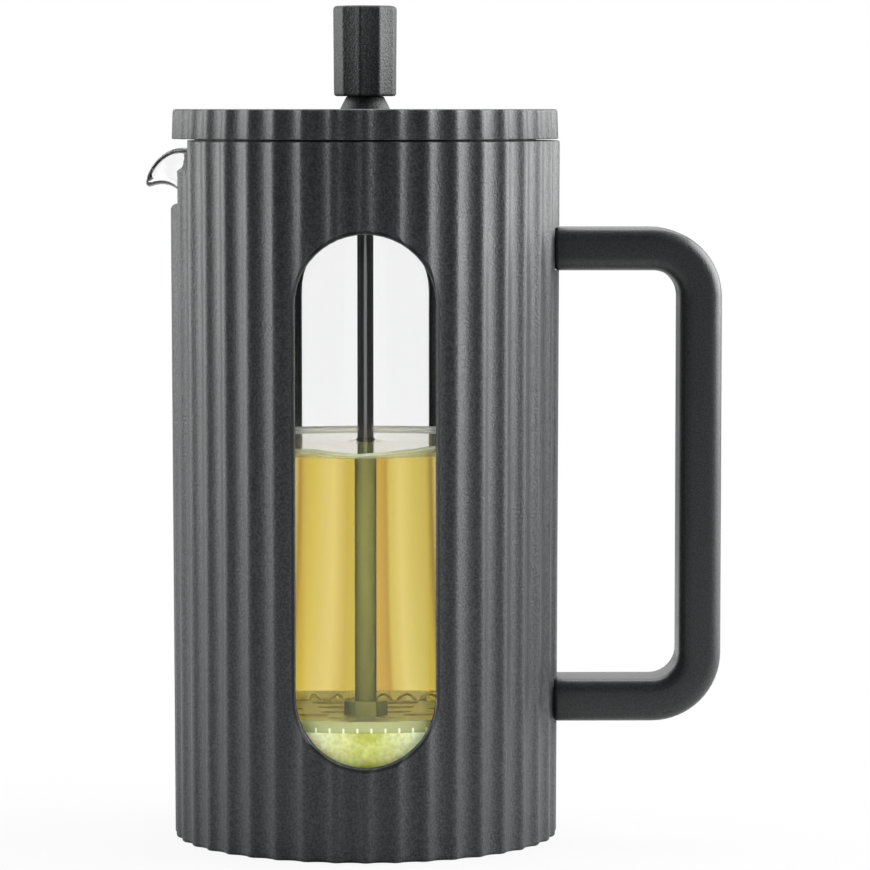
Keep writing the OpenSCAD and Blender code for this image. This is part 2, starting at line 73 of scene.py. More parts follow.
class PressSizes(bpy.types.PropertyGroup):
    flute_count: IntProperty(name="Flutes", description="Flutes round the casing and the lid", default=40)
    flute_depth: length("Flute depth", "Depth of a flute below its ridges", 1.2)
    ridge_width: length("Ridge width", "Width of a ridge's rounded crest", 3)
    casing_draft: length("Casing draft", "How much smaller the casing is at its base", 0.7)
    casing_wall: length("Casing wall", "Thickness of the casing over its ridges", 4)
    casing_floor: length("Casing floor", "Thickness of the casing's floor", 3)
    window_width: length("Window width", "Width of the windows", 38.4)
    window_low: length("Window low end", "Height of a window's lowest point", 26.1)
    window_high: length("Window high end", "Height of a window's highest point", 172)
    window_rim: length("Window rim", "Radius that rounds a window's outer rim", 1.2)
    spout_width: length("Spout width", "Width of the spout where it leaves the wall", 41)
    spout_reach: length("Spout reach", "Reach of the spout beyond the wall", 10.8)
    spout_drop: length("Spout drop", "Drop of the spout's tip below the rim", 11.2)
    spout_height: length("Spout height", "Height of the bent part of the wall", 17.5)
    notch_room: length("Notch room", "Room beside the spout at the top of its notch", 3.5)
    notch_step: length("Notch step", "How much narrower the notch is below the spout", 9.2)
    notch_depth: length("Notch depth", "Depth of the notch below the casing's top", 18)
    glass_wall: length("Glass wall", "Thickness of the glass wall", 2)
    glass_bottom: length("Glass bottom", "Thickness of the glass bottom", 3)
    glass_corner: length("Glass corner", "Radius of the glass's lower corner", 8)
    handle_thickness: length("Handle thickness", "Thickness of the handle's arms and grip", 12)
    handle_bend: length("Handle bend", "Outer radius of the handle's bends", 19.5)
    handle_edge: length("Handle edge", "Radius of the handle's long edges", 3.7)
    knob_flutes: IntProperty(name="Knob flutes", description="Hollow flutes round the knob", default=10)
    knob_flute_depth: length("Knob flute depth", "Depth of a knob flute", 0.5)
    knob_flute_radius: length("Knob flute radius", "Radius of a knob flute's hollow", 22)
    knob_low_radius: length("Knob low radius", "Radius over the ridges at the knob's underside", 8.85)
    knob_high_radius: length("Knob high radius", "Radius over the ridges at the knob's top", 9.05)
    rod_radius: length("Rod radius", "Radius of the plunger's rod", 2.3)
    tea_level: length("Tea level", "Height of the tea's surface", 112)
    tea_climb: length("Tea climb", "How far the tea climbs the rod", 1.4)
    spring_turns: IntProperty(name="Spring turns", description="Turns of the edge spring", default=80)
    spring_wire: length("Spring wire", "Radius of the edge spring's wire", 0.25)
    mesh_pitch: length("Mesh pitch", "Distance between the filter mesh's wires", 0.5)
    pleat_gap: length("Pleat gap", "Distance between the pleats of the filter mesh's edge", 3.8)


class PressColours(bpy.types.PropertyGroup):
    casing: colour("Casing", "Moulded charcoal of the casing and the lid", (0.040, 0.043, 0.044))
    handle: colour("Handle", "Black of the handle, knob and collar", (0.022, 0.023, 0.024))
    insert: colour("Insert", "Grey of the lid's plug", (0.060, 0.062, 0.064))
    silicone: colour("Silicone", "Soft grey of the seal and the cushion", (0.55, 0.56, 0.56))
    bush: colour("Bush", "Off-white of the guide bush", (0.72, 0.70, 0.64))
    steel: colour("Steel", "Polished steel", (0.62, 0.61, 0.59))
    # Painted light: the plates' green tint stands for the tea's light on the steel.
    filter: colour("Filter steel", "Dulled steel of the filter's plates", (0.76, 0.88, 0.82))
    # Painted reflection: the wire's olive tone stands for the tea's green light on it.
    gauze: colour("Gauze", "Wire of the filter's mesh, stained by the tea", (0.36, 0.385, 0.14))
    # Painted backlight: near-white for the mesh at the back, as if lit through from behind; the edge spring
    # is painted with it too.
    painted_backlit_wire: colour("Far gauze", "Wire of the mesh at the back, clear of the leaves", (0.92, 1.0, 0.86))
    # Painted light: a lifted green tone that hides the shade on the nut's faces.
    nut: colour("Filter nut", "Dulled steel of the filter's nut", (0.37, 0.47, 0.35))
    brass: colour("Brass", "Brass of the knob's insert", (0.72, 0.50, 0.20))
    tea: colour("Tea", "What a long way through the tea lets pass", (0.859, 0.715, 0.005))
    # Painted reflection: the dull green given to the rod below the tea, in place of the tea and leaves it
    # reflects.
    rod_under_tea_painted_tone: colour("Tea film", "Dull film that the tea leaves on the rod", (0.285, 0.365, 0.24))
    # Partly froth and partly a painted sheen along the tea's edge on the glass.
    froth_and_sheen: colour("Tea edge", "Pale line of tea on the glass", (0.33, 0.355, 0.22))
    leaf: colour("Leaf", "Fresh green of the wet leaves", (0.40, 0.43, 0.05))
    # Painted light: the leaves are painted this pale towards a window's sides, where the casing shades them.
    leaf_painted_side_light: colour("Side leaf", "Pale green of the leaves towards a window's sides", (0.73, 0.765, 0.51))
    leaf_pale: colour("Pale leaf", "Pale green of the leaves at the glass", (0.51, 0.54, 0.165))
    floor: colour("Floor", "Pale floor", (0.62, 0.62, 0.62))


# ---------------------------------------------------------------- making meshes


def arc(cx, cy, r, start, end, steps):
    """Points round a centre, from one angle in degrees to another."""
    angles = [math.radians(start + (end - start) * i / steps) for i in range(steps + 1)]
    return [(cx + r * math.cos(a), cy + r * math.sin(a)) for a in angles]


def turned(profile, steps, closed=False):
    """A new bmesh of a profile of (radius, height) points spun round the upright axis."""
    bm = bmesh.new()
    verts = [bm.verts.new((r, 0, z)) for r, z in profile]
    pairs = list(zip(verts, verts[1:])) + ([(verts[-1], verts[0])] if closed else [])
    edges = [bm.edges.new(pair) for pair in pairs]
    bmesh.ops.spin(bm, geom=verts + edges, cent=(0, 0, 0), axis=(0, 0, 1), dvec=(0, 0, 0),
                   angle=2 * math.pi, steps=steps, use_merge=True)
    close_up(bm)
    return bm


def verts_in(geom):
    return [g for g in geom if isinstance(g, bmesh.types.BMVert)]


def shift(bm, vec):
    bmesh.ops.translate(bm, verts=bm.verts[:], vec=vec)


def tip_over(bm):
    """Turns what stands along Z so that it lies along X."""
    bmesh.ops.rotate(bm, verts=bm.verts[:], cent=(0, 0, 0), matrix=Matrix.Rotation(math.pi / 2, 3, "Y"))


def rounded(bm, edges, radius, segments=4):
    """Rounds edges to a radius."""
    bmesh.ops.bevel(bm, geom=edges, offset=radius, segments=segments, profile=0.5, affect="EDGES",
                    material=-1)


def close_up(bm):
    """Joins the points that meet and turns the faces outwards."""
    bmesh.ops.remove_doubles(bm, verts=bm.verts[:], dist=1e-6)
    bmesh.ops.recalc_face_normals(bm, faces=bm.faces[:])


def loft(rings):
    """A new bmesh that joins closed rings of points into a skin with a face over each end."""
    bm = bmesh.new()
    loops = []
    for points in rings:
        verts = [bm.verts.new(p) for p in points]
        loops.append([bm.edges.new((a, b)) for a, b in zip(verts, verts[1:] + verts[:1])])
    for low, high in zip(loops, loops[1:]):
        bmesh.ops.bridge_loops(bm, edges=low + high)
    for end in (loops[0], loops[-1]):
        bmesh.ops.contextual_create(bm, geom=end)
    close_up(bm)
    return bm


def evaluated(obj):
    """The mesh that an object's settings and modifiers give, as a bmesh."""
    mesh = bpy.data.meshes.new_from_object(obj.evaluated_get(bpy.context.evaluated_depsgraph_get()))
    bm = bmesh.new()
    bm.from_mesh(mesh)
    bpy.data.meshes.remove(mesh)
    return bm


def new_object(bm, name, *materials):
    """A bmesh made into an object with its materials."""
    mesh = bpy.data.meshes.new(name)
    bm.to_mesh(mesh)
    bm.free()
    for material in materials:
        mesh.materials.append(material)
    obj = bpy.data.objects.new(name, mesh)
    bpy.context.scene.collection.objects.link(obj)
    return obj


def loose(bm, cut_index):
    """A loose object for carving, whose faces carry a material index that marks the cut."""
    for face in bm.faces:
        face.material_index = cut_index
    return new_object(bm, "loose", None, None)


def carved(bm, cutters):
    """A new bmesh with the cutters taken out of it."""
    body = loose(bm, 0)
    tools = [loose(cutter, 1) for cutter in cutters]
    for tool in tools:
        cut = body.modifiers.new("cut", "BOOLEAN")
        cut.operation = "DIFFERENCE"
        cut.solver = "EXACT"
        cut.object = tool
    result = evaluated(body)
    for obj in [body] + tools:
        bpy.data.meshes.remove(obj.data)
    bmesh.ops.remove_doubles(result, verts=result.verts[:], dist=2e-6)
    bmesh.ops.dissolve_degenerate(result, edges=result.edges[:], dist=1e-6)
    return result


def piece(bm, name, finish_name, body, nodes=(), sharp=40):
    """Turns a bmesh into a finished piece that rides on a body and stands for CAD nodes. Its edges are
    smooth up to an angle in degrees."""
    limit = math.radians(sharp)
    for face in bm.faces:
        face.smooth = True
    for edge in bm.edges:
        if len(edge.link_faces) == 2:
            a, b = edge.link_faces
            edge.smooth = a.material_index == b.material_index and edge.calc_face_angle(0) < limit
    for face in bm.faces:
        face.material_index = 0
    obj = new_object(bm, name, finish(finish_name))
    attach(obj, body)
    if nodes:
        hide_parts(*nodes)


def dress(node, finish_name):
    """Gives a CAD node its finish."""
    mesh = NODES[node].data
    mesh.materials.clear()
    mesh.materials.append(finish(finish_name))


# ---------------------------------------------------------------- finishes


class Value:
    """An output of a shader node. Sums of such outputs and of numbers make the math nodes."""

    def __init__(self, socket):
        self.socket = socket
        self.tree = socket.id_data

    def __add__(self, other):
        return maths("ADD", self, other)

    def __sub__(self, other):
        return maths("SUBTRACT", self, other)

    def __rsub__(self, other):
        return maths("SUBTRACT", other, self)

    def __mul__(self, other):
        return maths("MULTIPLY", self, other)

    def __pow__(self, power):
        return maths("POWER", self, power)

    def __abs__(self):
        return maths("ABSOLUTE", self)

    def __gt__(self, other):
        return maths("GREATER_THAN", self, other)

    def __lt__(self, other):
        return maths("LESS_THAN", self, other)


def give(socket, value):
    """Gives a node's input a number, a colour or another node's value."""
    if isinstance(value, Value):
        value.tree.links.new(value.socket, socket)
    else:
        socket.default_value = value if isinstance(value, (int, float)) else (*value, 1)


def fill(node, **values):
    """Fills a node's inputs by their names in small letters."""
    for key, value in values.items():
        give(node.inputs[key.replace("_", " ").title().replace("Ior", "IOR")], value)
    return node


def add(tree, kind, output=0, **values):
    """The value that a new node of a kind puts out."""
    return Value(fill(tree.nodes.new("ShaderNode" + kind), **values).outputs[output])


def maths(operation, first, second=0.0):
    """What a math node makes of two values or numbers."""
    tree = first.tree if isinstance(first, Value) else second.tree
    node = tree.nodes.new("ShaderNodeMath")
    node.operation = operation
    for socket, value in zip(node.inputs, (first, second)):
        give(socket, value)
    return Value(node.outputs[0])


def place(tree):
    """Where a point lies in its object's own coordinates."""
    return add(tree, "TexCoord", "Object")


def axes(vector):
    """The X, Y and Z of a vector."""
    split = fill(vector.tree.nodes.new("ShaderNodeSeparateXYZ"), vector=vector)
    return [Value(output) for output in split.outputs]


def object_noise(tree, scale, detail, along=1):
    """Noise through the object, whose grain can be drawn out along Z."""
    mapping = fill(tree.nodes.new("ShaderNodeMapping"), vector=place(tree))
    mapping.inputs["Scale"].default_value = (1, 1, along)
    return add(tree, "TexNoise", "Fac", scale=scale, detail=detail, vector=Value(mapping.outputs["Vector"]))


def stepped(value, stops):
    """A blend through the colours or grey levels that stand at a value's stops."""
    node = fill(value.tree.nodes.new("ShaderNodeValToRGB"), fac=value)
    elements = node.color_ramp.elements
    while len(elements) < len(stops):
        elements.new(0.5)
    for element, (at, tone) in zip(elements, stops):
        element.position = at
        element.color = (tone, tone, tone, 1) if isinstance(tone, float) else (*tone, 1)
    return Value(node.outputs["Color"])


def ramp(value, low, high, low_tone, high_tone):
    """A blend between two colours or grey levels as a value goes from low to high."""
    return stepped(value, ((low, low_tone), (high, high_tone)))


def mottled(noise, tone, share):
    """A tone that noise darkens in places to a share of itself."""
    return ramp(noise, 0.3, 0.7, scaled(tone, share), tone)


def scaled(tone, share):
    """A tone made darker, or lighter up to white."""
    return tuple(min(1, part * share) for part in tone)


def blended(share, first, second, way="MIX"):
    """One colour or the other by a share from 0 to 1, or, with MULTIPLY, the first darkened by the second."""
    tree = share.tree if isinstance(share, Value) else first.tree
    mix = tree.nodes.new("ShaderNodeMix")
    mix.data_type = "RGBA"
    mix.blend_type = way
    fill(mix, factor=share, a=first, b=second)
    return Value(mix.outputs["Result"])


def bump(shader, height, strength, depth):
    fill(shader, normal=add(height.tree, "Bump", strength=strength, distance=depth, height=height))


def new_material(name):
    """A material, its node tree and its shader."""
    material = bpy.data.materials.new(name)
    material.use_nodes = True
    tree = material.node_tree
    return material, tree, tree.nodes["Principled BSDF"]


def mixed_surface(tree, share, second):
    """Mixes a second shader into a material's surface by a share from 0 to 1."""
    mix = tree.nodes.new("ShaderNodeMixShader")
    first = Value(tree.nodes["Principled BSDF"].outputs["BSDF"])
    for socket, value in zip(mix.inputs, (share, first, second)):
        give(socket, value)
    fill(tree.nodes["Material Output"], surface=Value(mix.outputs["Shader"]))


def moulded_plastic(tree, shader, tone, roughness, grain_scale, grain_depth, coat=0.0):
    """Plastic with the fine spark-eroded grain of its mould."""
    grain = object_noise(tree, grain_scale, 3)
    cloud = object_noise(tree, 60, 2)
    fill(shader, specular_ior_level=0.5, coat_weight=coat, coat_roughness=0.2,
         base_color=ramp(grain, 0.4, 0.6, scaled(tone, 0.62), scaled(tone, 1.5)),
         roughness=ramp(cloud, 0.3, 0.7, roughness - 0.03, roughness + 0.03))
    bump(shader, grain, 1.0, grain_depth)


def plastic_with_painted_rim_light(tree, shader, tone, s):
    """The casing's plastic, with painted shade and a painted highlight round a window's rim: the cut's inner
    wall painted dark, a thin painted highlight where the rim turns in, and a painted shadow line just outside
    it.
    """
    moulded_plastic(tree, shader, tone, 0.42, 1600, 0.15 * MM)
    middle = (s.window_high + s.window_low) / 2
    straight = (s.window_high - s.window_low - s.window_width) / 2
    painted_rim_width = 1.5 * MM
    x, _, z = axes(place(tree))
    past_end = maths("MAXIMUM", abs(z - middle) - straight)
    away = maths("SQRT", abs(x) ** 2.0 + past_end ** 2.0)
    out = (away - s.window_width / 2) * (1 / painted_rim_width)
    # Painted light by distance from the window's outline: shade inside the cut, a painted highlight on the
    # rim's edge, then a painted shadow line that fades into the plain plastic.
    line = stepped(out, ((0.0, 0.3), (0.03, 2.6), (0.16, 2.6), (0.24, 0.05), (0.6, 0.05), (0.85, 1.0)))
    plain = Value(shader.inputs["Base Color"].links[0].from_socket)
    fill(shader, base_color=blended(1, plain, line, "MULTIPLY"))


def soft_rubber(tree, shader, tone):
    grain = object_noise(tree, 400, 3)
    fill(shader, subsurface_weight=0.2, subsurface_scale=2 * MM, base_color=mottled(grain, tone, 0.93),
         roughness=ramp(grain, 0.2, 0.8, 0.5, 0.62))
    bump(shader, grain, 0.2, 0.05 * MM)


def metal(tree, shader, tone, low_rough, high_rough, along, scale, metallic=1.0):
    """Metal whose fine drawing or turning marks run along Z."""
    marks = object_noise(tree, scale, 3, along)
    fill(shader, metallic=metallic, base_color=mottled(marks, tone, 0.92),
         roughness=ramp(marks, 0.3, 0.7, low_rough, high_rough))
    bump(shader, marks, 0.15, 0.01 * MM)


def rod_painted_under_tea(tree, shader, tone, wet, level):
    """Polished steel above the drink; below its surface a dull green is painted in place of the tea and
    leaves that the steel reflects: a painted reflection.
    """
    _, _, z = axes(place(tree))
    soft = 0.3 * MM
    marks = object_noise(tree, 900, 3, 0.05)
    dry = add(tree, "MapRange", value=z, from_min=level - soft, from_max=level + soft)
    # Painted reflection below the tea's surface: dull, green and not metallic.
    fill(shader, metallic=dry, base_color=blended(dry, mottled(marks, wet, 0.94), mottled(marks, tone, 0.92)),
         roughness=add(tree, "MapRange", value=dry, to_min=0.7, to_max=0.12))
    bump(shader, marks, 0.15, 0.01 * MM)


def clear_glass(_, shader):
    fill(shader, base_color=(1, 1, 1), roughness=0.0, ior=1.47, transmission_weight=1.0)


def tea_liquid(tree, shader, tone, froth_and_sheen_tone, rod_radius):
    """Clear tea that takes its colour from the way light goes through it. Its vertices say how frothy it is,
    along the glass, where the froth is partly a painted sheen, and which are its top, whose skin is painted
    pale at a low angle and at the back: a painted reflection."""
    zones = []
    for attribute in ("froth_and_sheen", "skin"):
        zone = tree.nodes.new("ShaderNodeAttribute")
        zone.attribute_name = attribute
        zones.append(Value(zone.outputs["Fac"]))
    froth_and_sheen, skin = zones
    x, y, _ = axes(place(tree))
    clear_of_rod = maths("MAXIMUM", abs(x) > rod_radius, y > 0.0)
    # Painted reflection: the top is painted pale and clouded at a low angle and at the back, except just in
    # front of the rod.
    low_angle = ramp(add(tree, "LayerWeight", "Facing"), 0.6, 0.85, 0.0, 1.0)
    at_back = maths("MAXIMUM", skin - 1.0)
    pale = maths("MINIMUM", skin * low_angle + at_back, 1.0) * clear_of_rod
    hidden = maths("MINIMUM", froth_and_sheen * 0.65 + pale * 0.5 + at_back * 0.25, 0.95)
    # Pale froth tone, partly froth and partly a painted sheen along the tea's edge.
    foam_and_sheen = mottled(object_noise(tree, 1200, 3), froth_and_sheen_tone, 0.8)
    any_froth_or_sheen = maths("MINIMUM", froth_and_sheen * 4.0, 1.0)
    liquid = blended(pale, (1, 1, 1), (0.82, 0.86, 0.88))
    fill(shader, ior=1.333, roughness=froth_and_sheen * 0.3, transmission_weight=1.0 - hidden,
         base_color=blended(any_froth_or_sheen, liquid, foam_and_sheen))
    fill(tree.nodes["Material Output"], volume=add(tree, "VolumeAbsorption", color=tone, density=18))


def wet_leaves(tree, shader, tone, pale, side):
    """Soaked, crumbled leaves, painted paler towards the sides of a window, where the casing shades them:
    painted light.
    """
    crumbs = object_noise(tree, 900, 4)
    patches = object_noise(tree, 260, 3)
    x, _, _ = axes(place(tree))
    # Painted light: the leaves grow paler away from the window's middle, against the casing's shade.
    painted_side_light = ramp(abs(x * (1 / (20 * MM))), 0.1, 0.75, 0.0, 1.0)
    leaf = blended(painted_side_light, ramp(patches, 0.35, 0.65, tone, pale), side)
    shade = ramp(crumbs, 0.36, 0.62, 0.82, 1.05)
    fill(shader, roughness=0.5, ior=1.2, subsurface_weight=0.4, subsurface_scale=3 * MM,
         base_color=blended(1, leaf, shade, "MULTIPLY"))
    bump(shader, crumbs, 0.6, 0.3 * MM)


def woven_mesh(tree, shader, tone, painted_backlit_tone, pitch, pleat_gap, flat_z):
    """Woven wire with open squares and pressed pleats where it stands up. It is sheerer at the back, and its
    wire is painted paler there: a painted backlight.
    """
    pleat_top = flat_z + 1.2 * MM
    uv = tree.nodes.new("ShaderNodeUVMap")
    uv.uv_map = "weave"
    across, along, _ = axes(Value(uv.outputs["UV"]))
    waves = [abs(maths("SINE", wire * math.pi)) for wire in (across, along)]
    gap = ramp(maths("MINIMUM", *waves), 0.78, 0.9, 0.0, 1.0)
    _, y, z = axes(place(tree))
    beat = maths("FRACT", across * (pitch / pleat_gap))
    pleat = ramp(abs(beat - 0.5), 0.04, 0.1, 1.0, 0.0) * (z < pleat_top)
    # Painted backlight: towards the back the wire is painted paler and left sheerer, as if lit through from
    # behind.
    far = ramp(y * (1 / (40 * MM)), 0.0, 1.0, 0.0, 1.0)
    open_part = (gap * 0.35 + far * 0.4) * (z > flat_z) * (1.0 - pleat)
    wires = blended(far, tone, painted_backlit_tone)
    fill(shader, metallic=0.1, roughness=0.4, base_color=blended(pleat, wires, (0.80, 0.82, 0.64)))
    mixed_surface(tree, open_part, add(tree, "BsdfTransparent"))


MADE = {}


def finish(name):
    """A finish that the pieces share, made on first use."""
    if name not in MADE:
        tones = bpy.context.scene.press_colours
        s = bpy.context.scene.press_sizes
        flat_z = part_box("filter_mesh")[0].z + 0.6 * MM
        makers = {
            "casing_plastic": (plastic_with_painted_rim_light, tones.casing, s),
            "handle_plastic": (moulded_plastic, tones.handle, 0.4, 2100, 0.1 * MM, 0.25),
            "knob_plastic": (moulded_plastic, tones.handle, 0.52, 1600, 0.2 * MM),
            "insert_plastic": (moulded_plastic, tones.insert, 0.45, 900, 0.03 * MM),
            "bush_plastic": (moulded_plastic, tones.bush, 0.35, 900, 0.01 * MM),
            "silicone": (soft_rubber, tones.silicone),
            "rod_painted_under_tea": (rod_painted_under_tea, tones.steel, tones.rod_under_tea_painted_tone, s.tea_level - 2 * MM),
            "turned_steel": (metal, tones.steel, 0.16, 0.28, 0.1, 700),
            "filter_steel": (metal, tones.filter, 0.32, 0.42, 1, 500, 0.25),
            # The spring takes the painted backlit tone, which paints out the shade between its coils.
            "spring_steel": (metal, tones.painted_backlit_wire, 0.4, 0.5, 1, 900, 0.02),
            "nut_steel": (metal, tones.nut, 0.4, 0.5, 1, 500, 0.05),
            "insert_brass": (metal, tones.brass, 0.2, 0.35, 0.1, 500),
            "woven_mesh": (woven_mesh, tones.gauze, tones.painted_backlit_wire, s.mesh_pitch, s.pleat_gap, flat_z),
            "beaker_glass": (clear_glass,),
            "green_tea": (tea_liquid, tones.tea, tones.froth_and_sheen, s.rod_radius),
            "wet_leaves": (wet_leaves, tones.leaf, tones.leaf_pale, tones.leaf_painted_side_light),
        }
        maker, *values = makers[name]
        MADE[name], tree, shader = new_material(name)
        maker(tree, shader, *values)
    return MADE[name]


# ---------------------------------------------------------------- shapes


def flute_sink(s, radius, turn):
    """How far the fluted wall lies inside its ridges at an angle: a crest arc and a hollow arc."""
    half_pitch = math.pi * radius / s.flute_count
    crest = s.ridge_width / 2
    x = abs((turn * s.flute_count / (2 * math.pi) + 0.5) % 1 - 0.5) * 2 * half_pitch
    slope = 2 * math.atan(s.flute_depth / half_pitch)
    crest_r = crest / math.sin(slope)
    hollow_r = (half_pitch - crest) / math.sin(slope)
    if x < crest:
        return crest_r - math.sqrt(crest_r**2 - x**2)
    return s.flute_depth - hollow_r + math.sqrt(hollow_r**2 - (half_pitch - x) ** 2)


def raised(bm, low_r, high_r, low, high, low_edge, high_edge):
    """Raises a flat outline into a tapering drum, with its two rims rounded."""
    shift(bm, (0, 0, low))
    top = verts_in(bmesh.ops.extrude_face_region(bm, geom=bm.faces[:])["geom"])
    bmesh.ops.scale(bm, verts=top, vec=(high_r / low_r, high_r / low_r, 1))
    bmesh.ops.translate(bm, verts=top, vec=(0, 0, high - low))
    bmesh.ops.recalc_face_normals(bm, faces=bm.faces[:])
    for z, edge in ((low, low_edge), (high, high_edge)):
        rounded(bm, [e for e in bm.edges if all(abs(v.co.z - z) < 1e-7 for v in e.verts)], edge)


def fluted_drum(s, low_r, high_r, low, high, low_edge, high_edge):
    """A closed drum with the press's flutes, which its radii go over."""
    flute_points = 16
    bm = bmesh.new()
    bmesh.ops.create_circle(bm, cap_ends=True, segments=s.flute_count * flute_points, radius=low_r)
    for vert in bm.verts:
        turn = math.atan2(vert.co.y, vert.co.x)
        vert.co *= 1 - flute_sink(s, low_r, turn) / low_r
    raised(bm, low_r, high_r, low, high, low_edge, high_edge)
    return bm


def stadium(half_w, low, high, steps=24):
    """Points of an upright slot with round ends, in X and Z."""
    return arc(0, high - half_w, half_w, 0, 180, steps) + arc(0, low + half_w, half_w, 180, 360, steps)


def window_cutter(s, side):
    """A slot through the wall, whose outer rim is rounded and then slopes out over the ridges."""
    outer_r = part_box("casing")[1].y
    start_r = outer_r - 2.1 * MM
    past_r = 1.3 * outer_r
    half_w = s.window_width / 2
    stops = [(outer_r - s.casing_wall - 2 * MM, 0), (start_r, 0)]
    for a in (12, 24, 36, 48):
        turn = math.radians(a)
        stops.append((start_r + s.window_rim * math.sin(turn), s.window_rim * (1 - math.cos(turn))))
    last_r, last_o = stops[-1]
    stops.append((past_r, last_o + past_r - last_r))
    rings = []
    for r, grow in stops:
        outline = stadium(half_w + grow, s.window_low - grow, s.window_high + grow)
        rings.append([(x, side * math.sqrt(r * r - x * x), z) for x, z in outline])
    return loft(rings)


def prism(outline, depth):
    """A new bmesh of an outline of 3D points extruded along a vector, closed at both ends."""
    bm = bmesh.new()
    face = bm.faces.new([bm.verts.new(p) for p in outline])
    grown = bmesh.ops.extrude_face_region(bm, geom=[face])["geom"]
    bmesh.ops.translate(bm, verts=verts_in(grown), vec=depth)
    bmesh.ops.recalc_face_normals(bm, faces=bm.faces[:])
    return bm


def along_x(bm):
    """The edges of a prism that run along X."""
    return [e for e in bm.edges if abs(e.verts[0].co.x - e.verts[1].co.x) > 1 * MM]


def notch_cutter(s):
    """The gap for the spout: a mouth that narrows in a soft step to a slot with a sloping sill."""
    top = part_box("casing")[1].z
    half = s.spout_width / 2 + s.notch_room
    slot, sill = half - s.notch_step, top - s.notch_depth
    # The step's edge, in mm inwards from the mouth's side and up from the casing's top.
    step = ((8.9, -11.6), (8.2, -11.1), (5.2, -9.7), (2.4, -8.3), (0.9, -6.6), (0.2, -5), (-0.4, 1))
    right = [(slot, sill), (slot, top - 12.1 * MM)]
    right += [(half - inward * MM, top + up * MM) for inward, up in step]
    outline = right + [(-y, z) for y, z in reversed(right)]
    bm = prism([(-60 * MM, y, z) for y, z in outline], (30 * MM, 0, 0))
    rounded(bm, [e for e in along_x(bm) if e.verts[0].co.z < sill + 1e-6], 4 * MM, 8)
    return bm


def sill_cutter(s):
    """The slope outside the notch's sill."""
    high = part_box("casing")[1]
    out = -high.y - 1 * MM
    sill = high.z - s.notch_depth + 0.3 * MM
    half = s.spout_width / 2 + s.notch_room - s.notch_step
    slope = [(out, -half, sill - 2.7 * MM), (out + 2.4 * MM, -half, sill), (out, -half, sill)]
    return prism(slope, (0, 2 * half, 0))


def block(low, high):
    """A box between two corners."""
    bm = bmesh.new()
    bmesh.ops.create_cube(bm, size=1)
    bmesh.ops.scale(bm, verts=bm.verts[:], vec=Vector(high) - Vector(low))
    shift(bm, (Vector(high) + Vector(low)) / 2)
    return bm


def seat_cutter(z, half_h):
    """The flat pocket that an arm of the handle stands in."""
    low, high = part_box("handle")
    room = 0.25 * MM
    half_h += room
    bm = block((low.x, low.y - room, z - half_h), (low.x + 10 * MM, high.y + room, z + half_h))
    rounded(bm, along_x(bm), 2 * MM, 5)
    return bm


def screw_cutter(node):
    """The countersunk hole of a handle screw, through the casing's wall."""
    low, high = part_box(node)
    head_r = (high.y - low.y) / 2 + 0.05 * MM
    shank_r = 2.1 * MM
    before, sink, through = -1 * MM, 1.6 * MM, 4 * MM
    bm = turned([(0, before), (head_r, before), (head_r, 0), (shank_r, sink), (shank_r, through),
                 (0, through)], 48)
    tip_over(bm)
    shift(bm, (low.x, 0, (low.z + high.z) / 2))
    return bm


def arm_heights(s):
    """How high the middles of the handle's two arms lie."""
    low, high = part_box("handle")
    half = s.handle_thickness / 2
    return low.z + half, high.z - half


# ---------------------------------------------------------------- operators


class PRESS_OT_casing(bpy.types.Operator):
    """Makes the fluted casing with its windows, spout notch and handle seats."""

    bl_idname = "press.casing"
    bl_label = "Casing"

    def execute(self, context):
        s = context.scene.press_sizes
        low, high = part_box("casing")
        top_r = high.y
        bore_r = top_r - s.casing_wall
        over = high.z + 5 * MM
        drum = fluted_drum(s, top_r - s.casing_draft, top_r, low.z, high.z, 1 * MM, 0.6 * MM)
        bore = turned([(0, s.casing_floor), (bore_r, s.casing_floor), (bore_r, over), (0, over)], 180)
        cutters = [bore, window_cutter(s, -1), window_cutter(s, 1), notch_cutter(s), sill_cutter(s)]
        cutters += [seat_cutter(z, s.handle_thickness / 2) for z in arm_heights(s)]
        cutters += [screw_cutter(n) for n in ("upper_handle_screw", "lower_handle_screw")]
        piece(carved(drum, cutters), "fluted_casing", "casing_plastic", "vessel",
              ["casing"], 32)
        dress("base_cushion", "silicone")
        return {"FINISHED"}


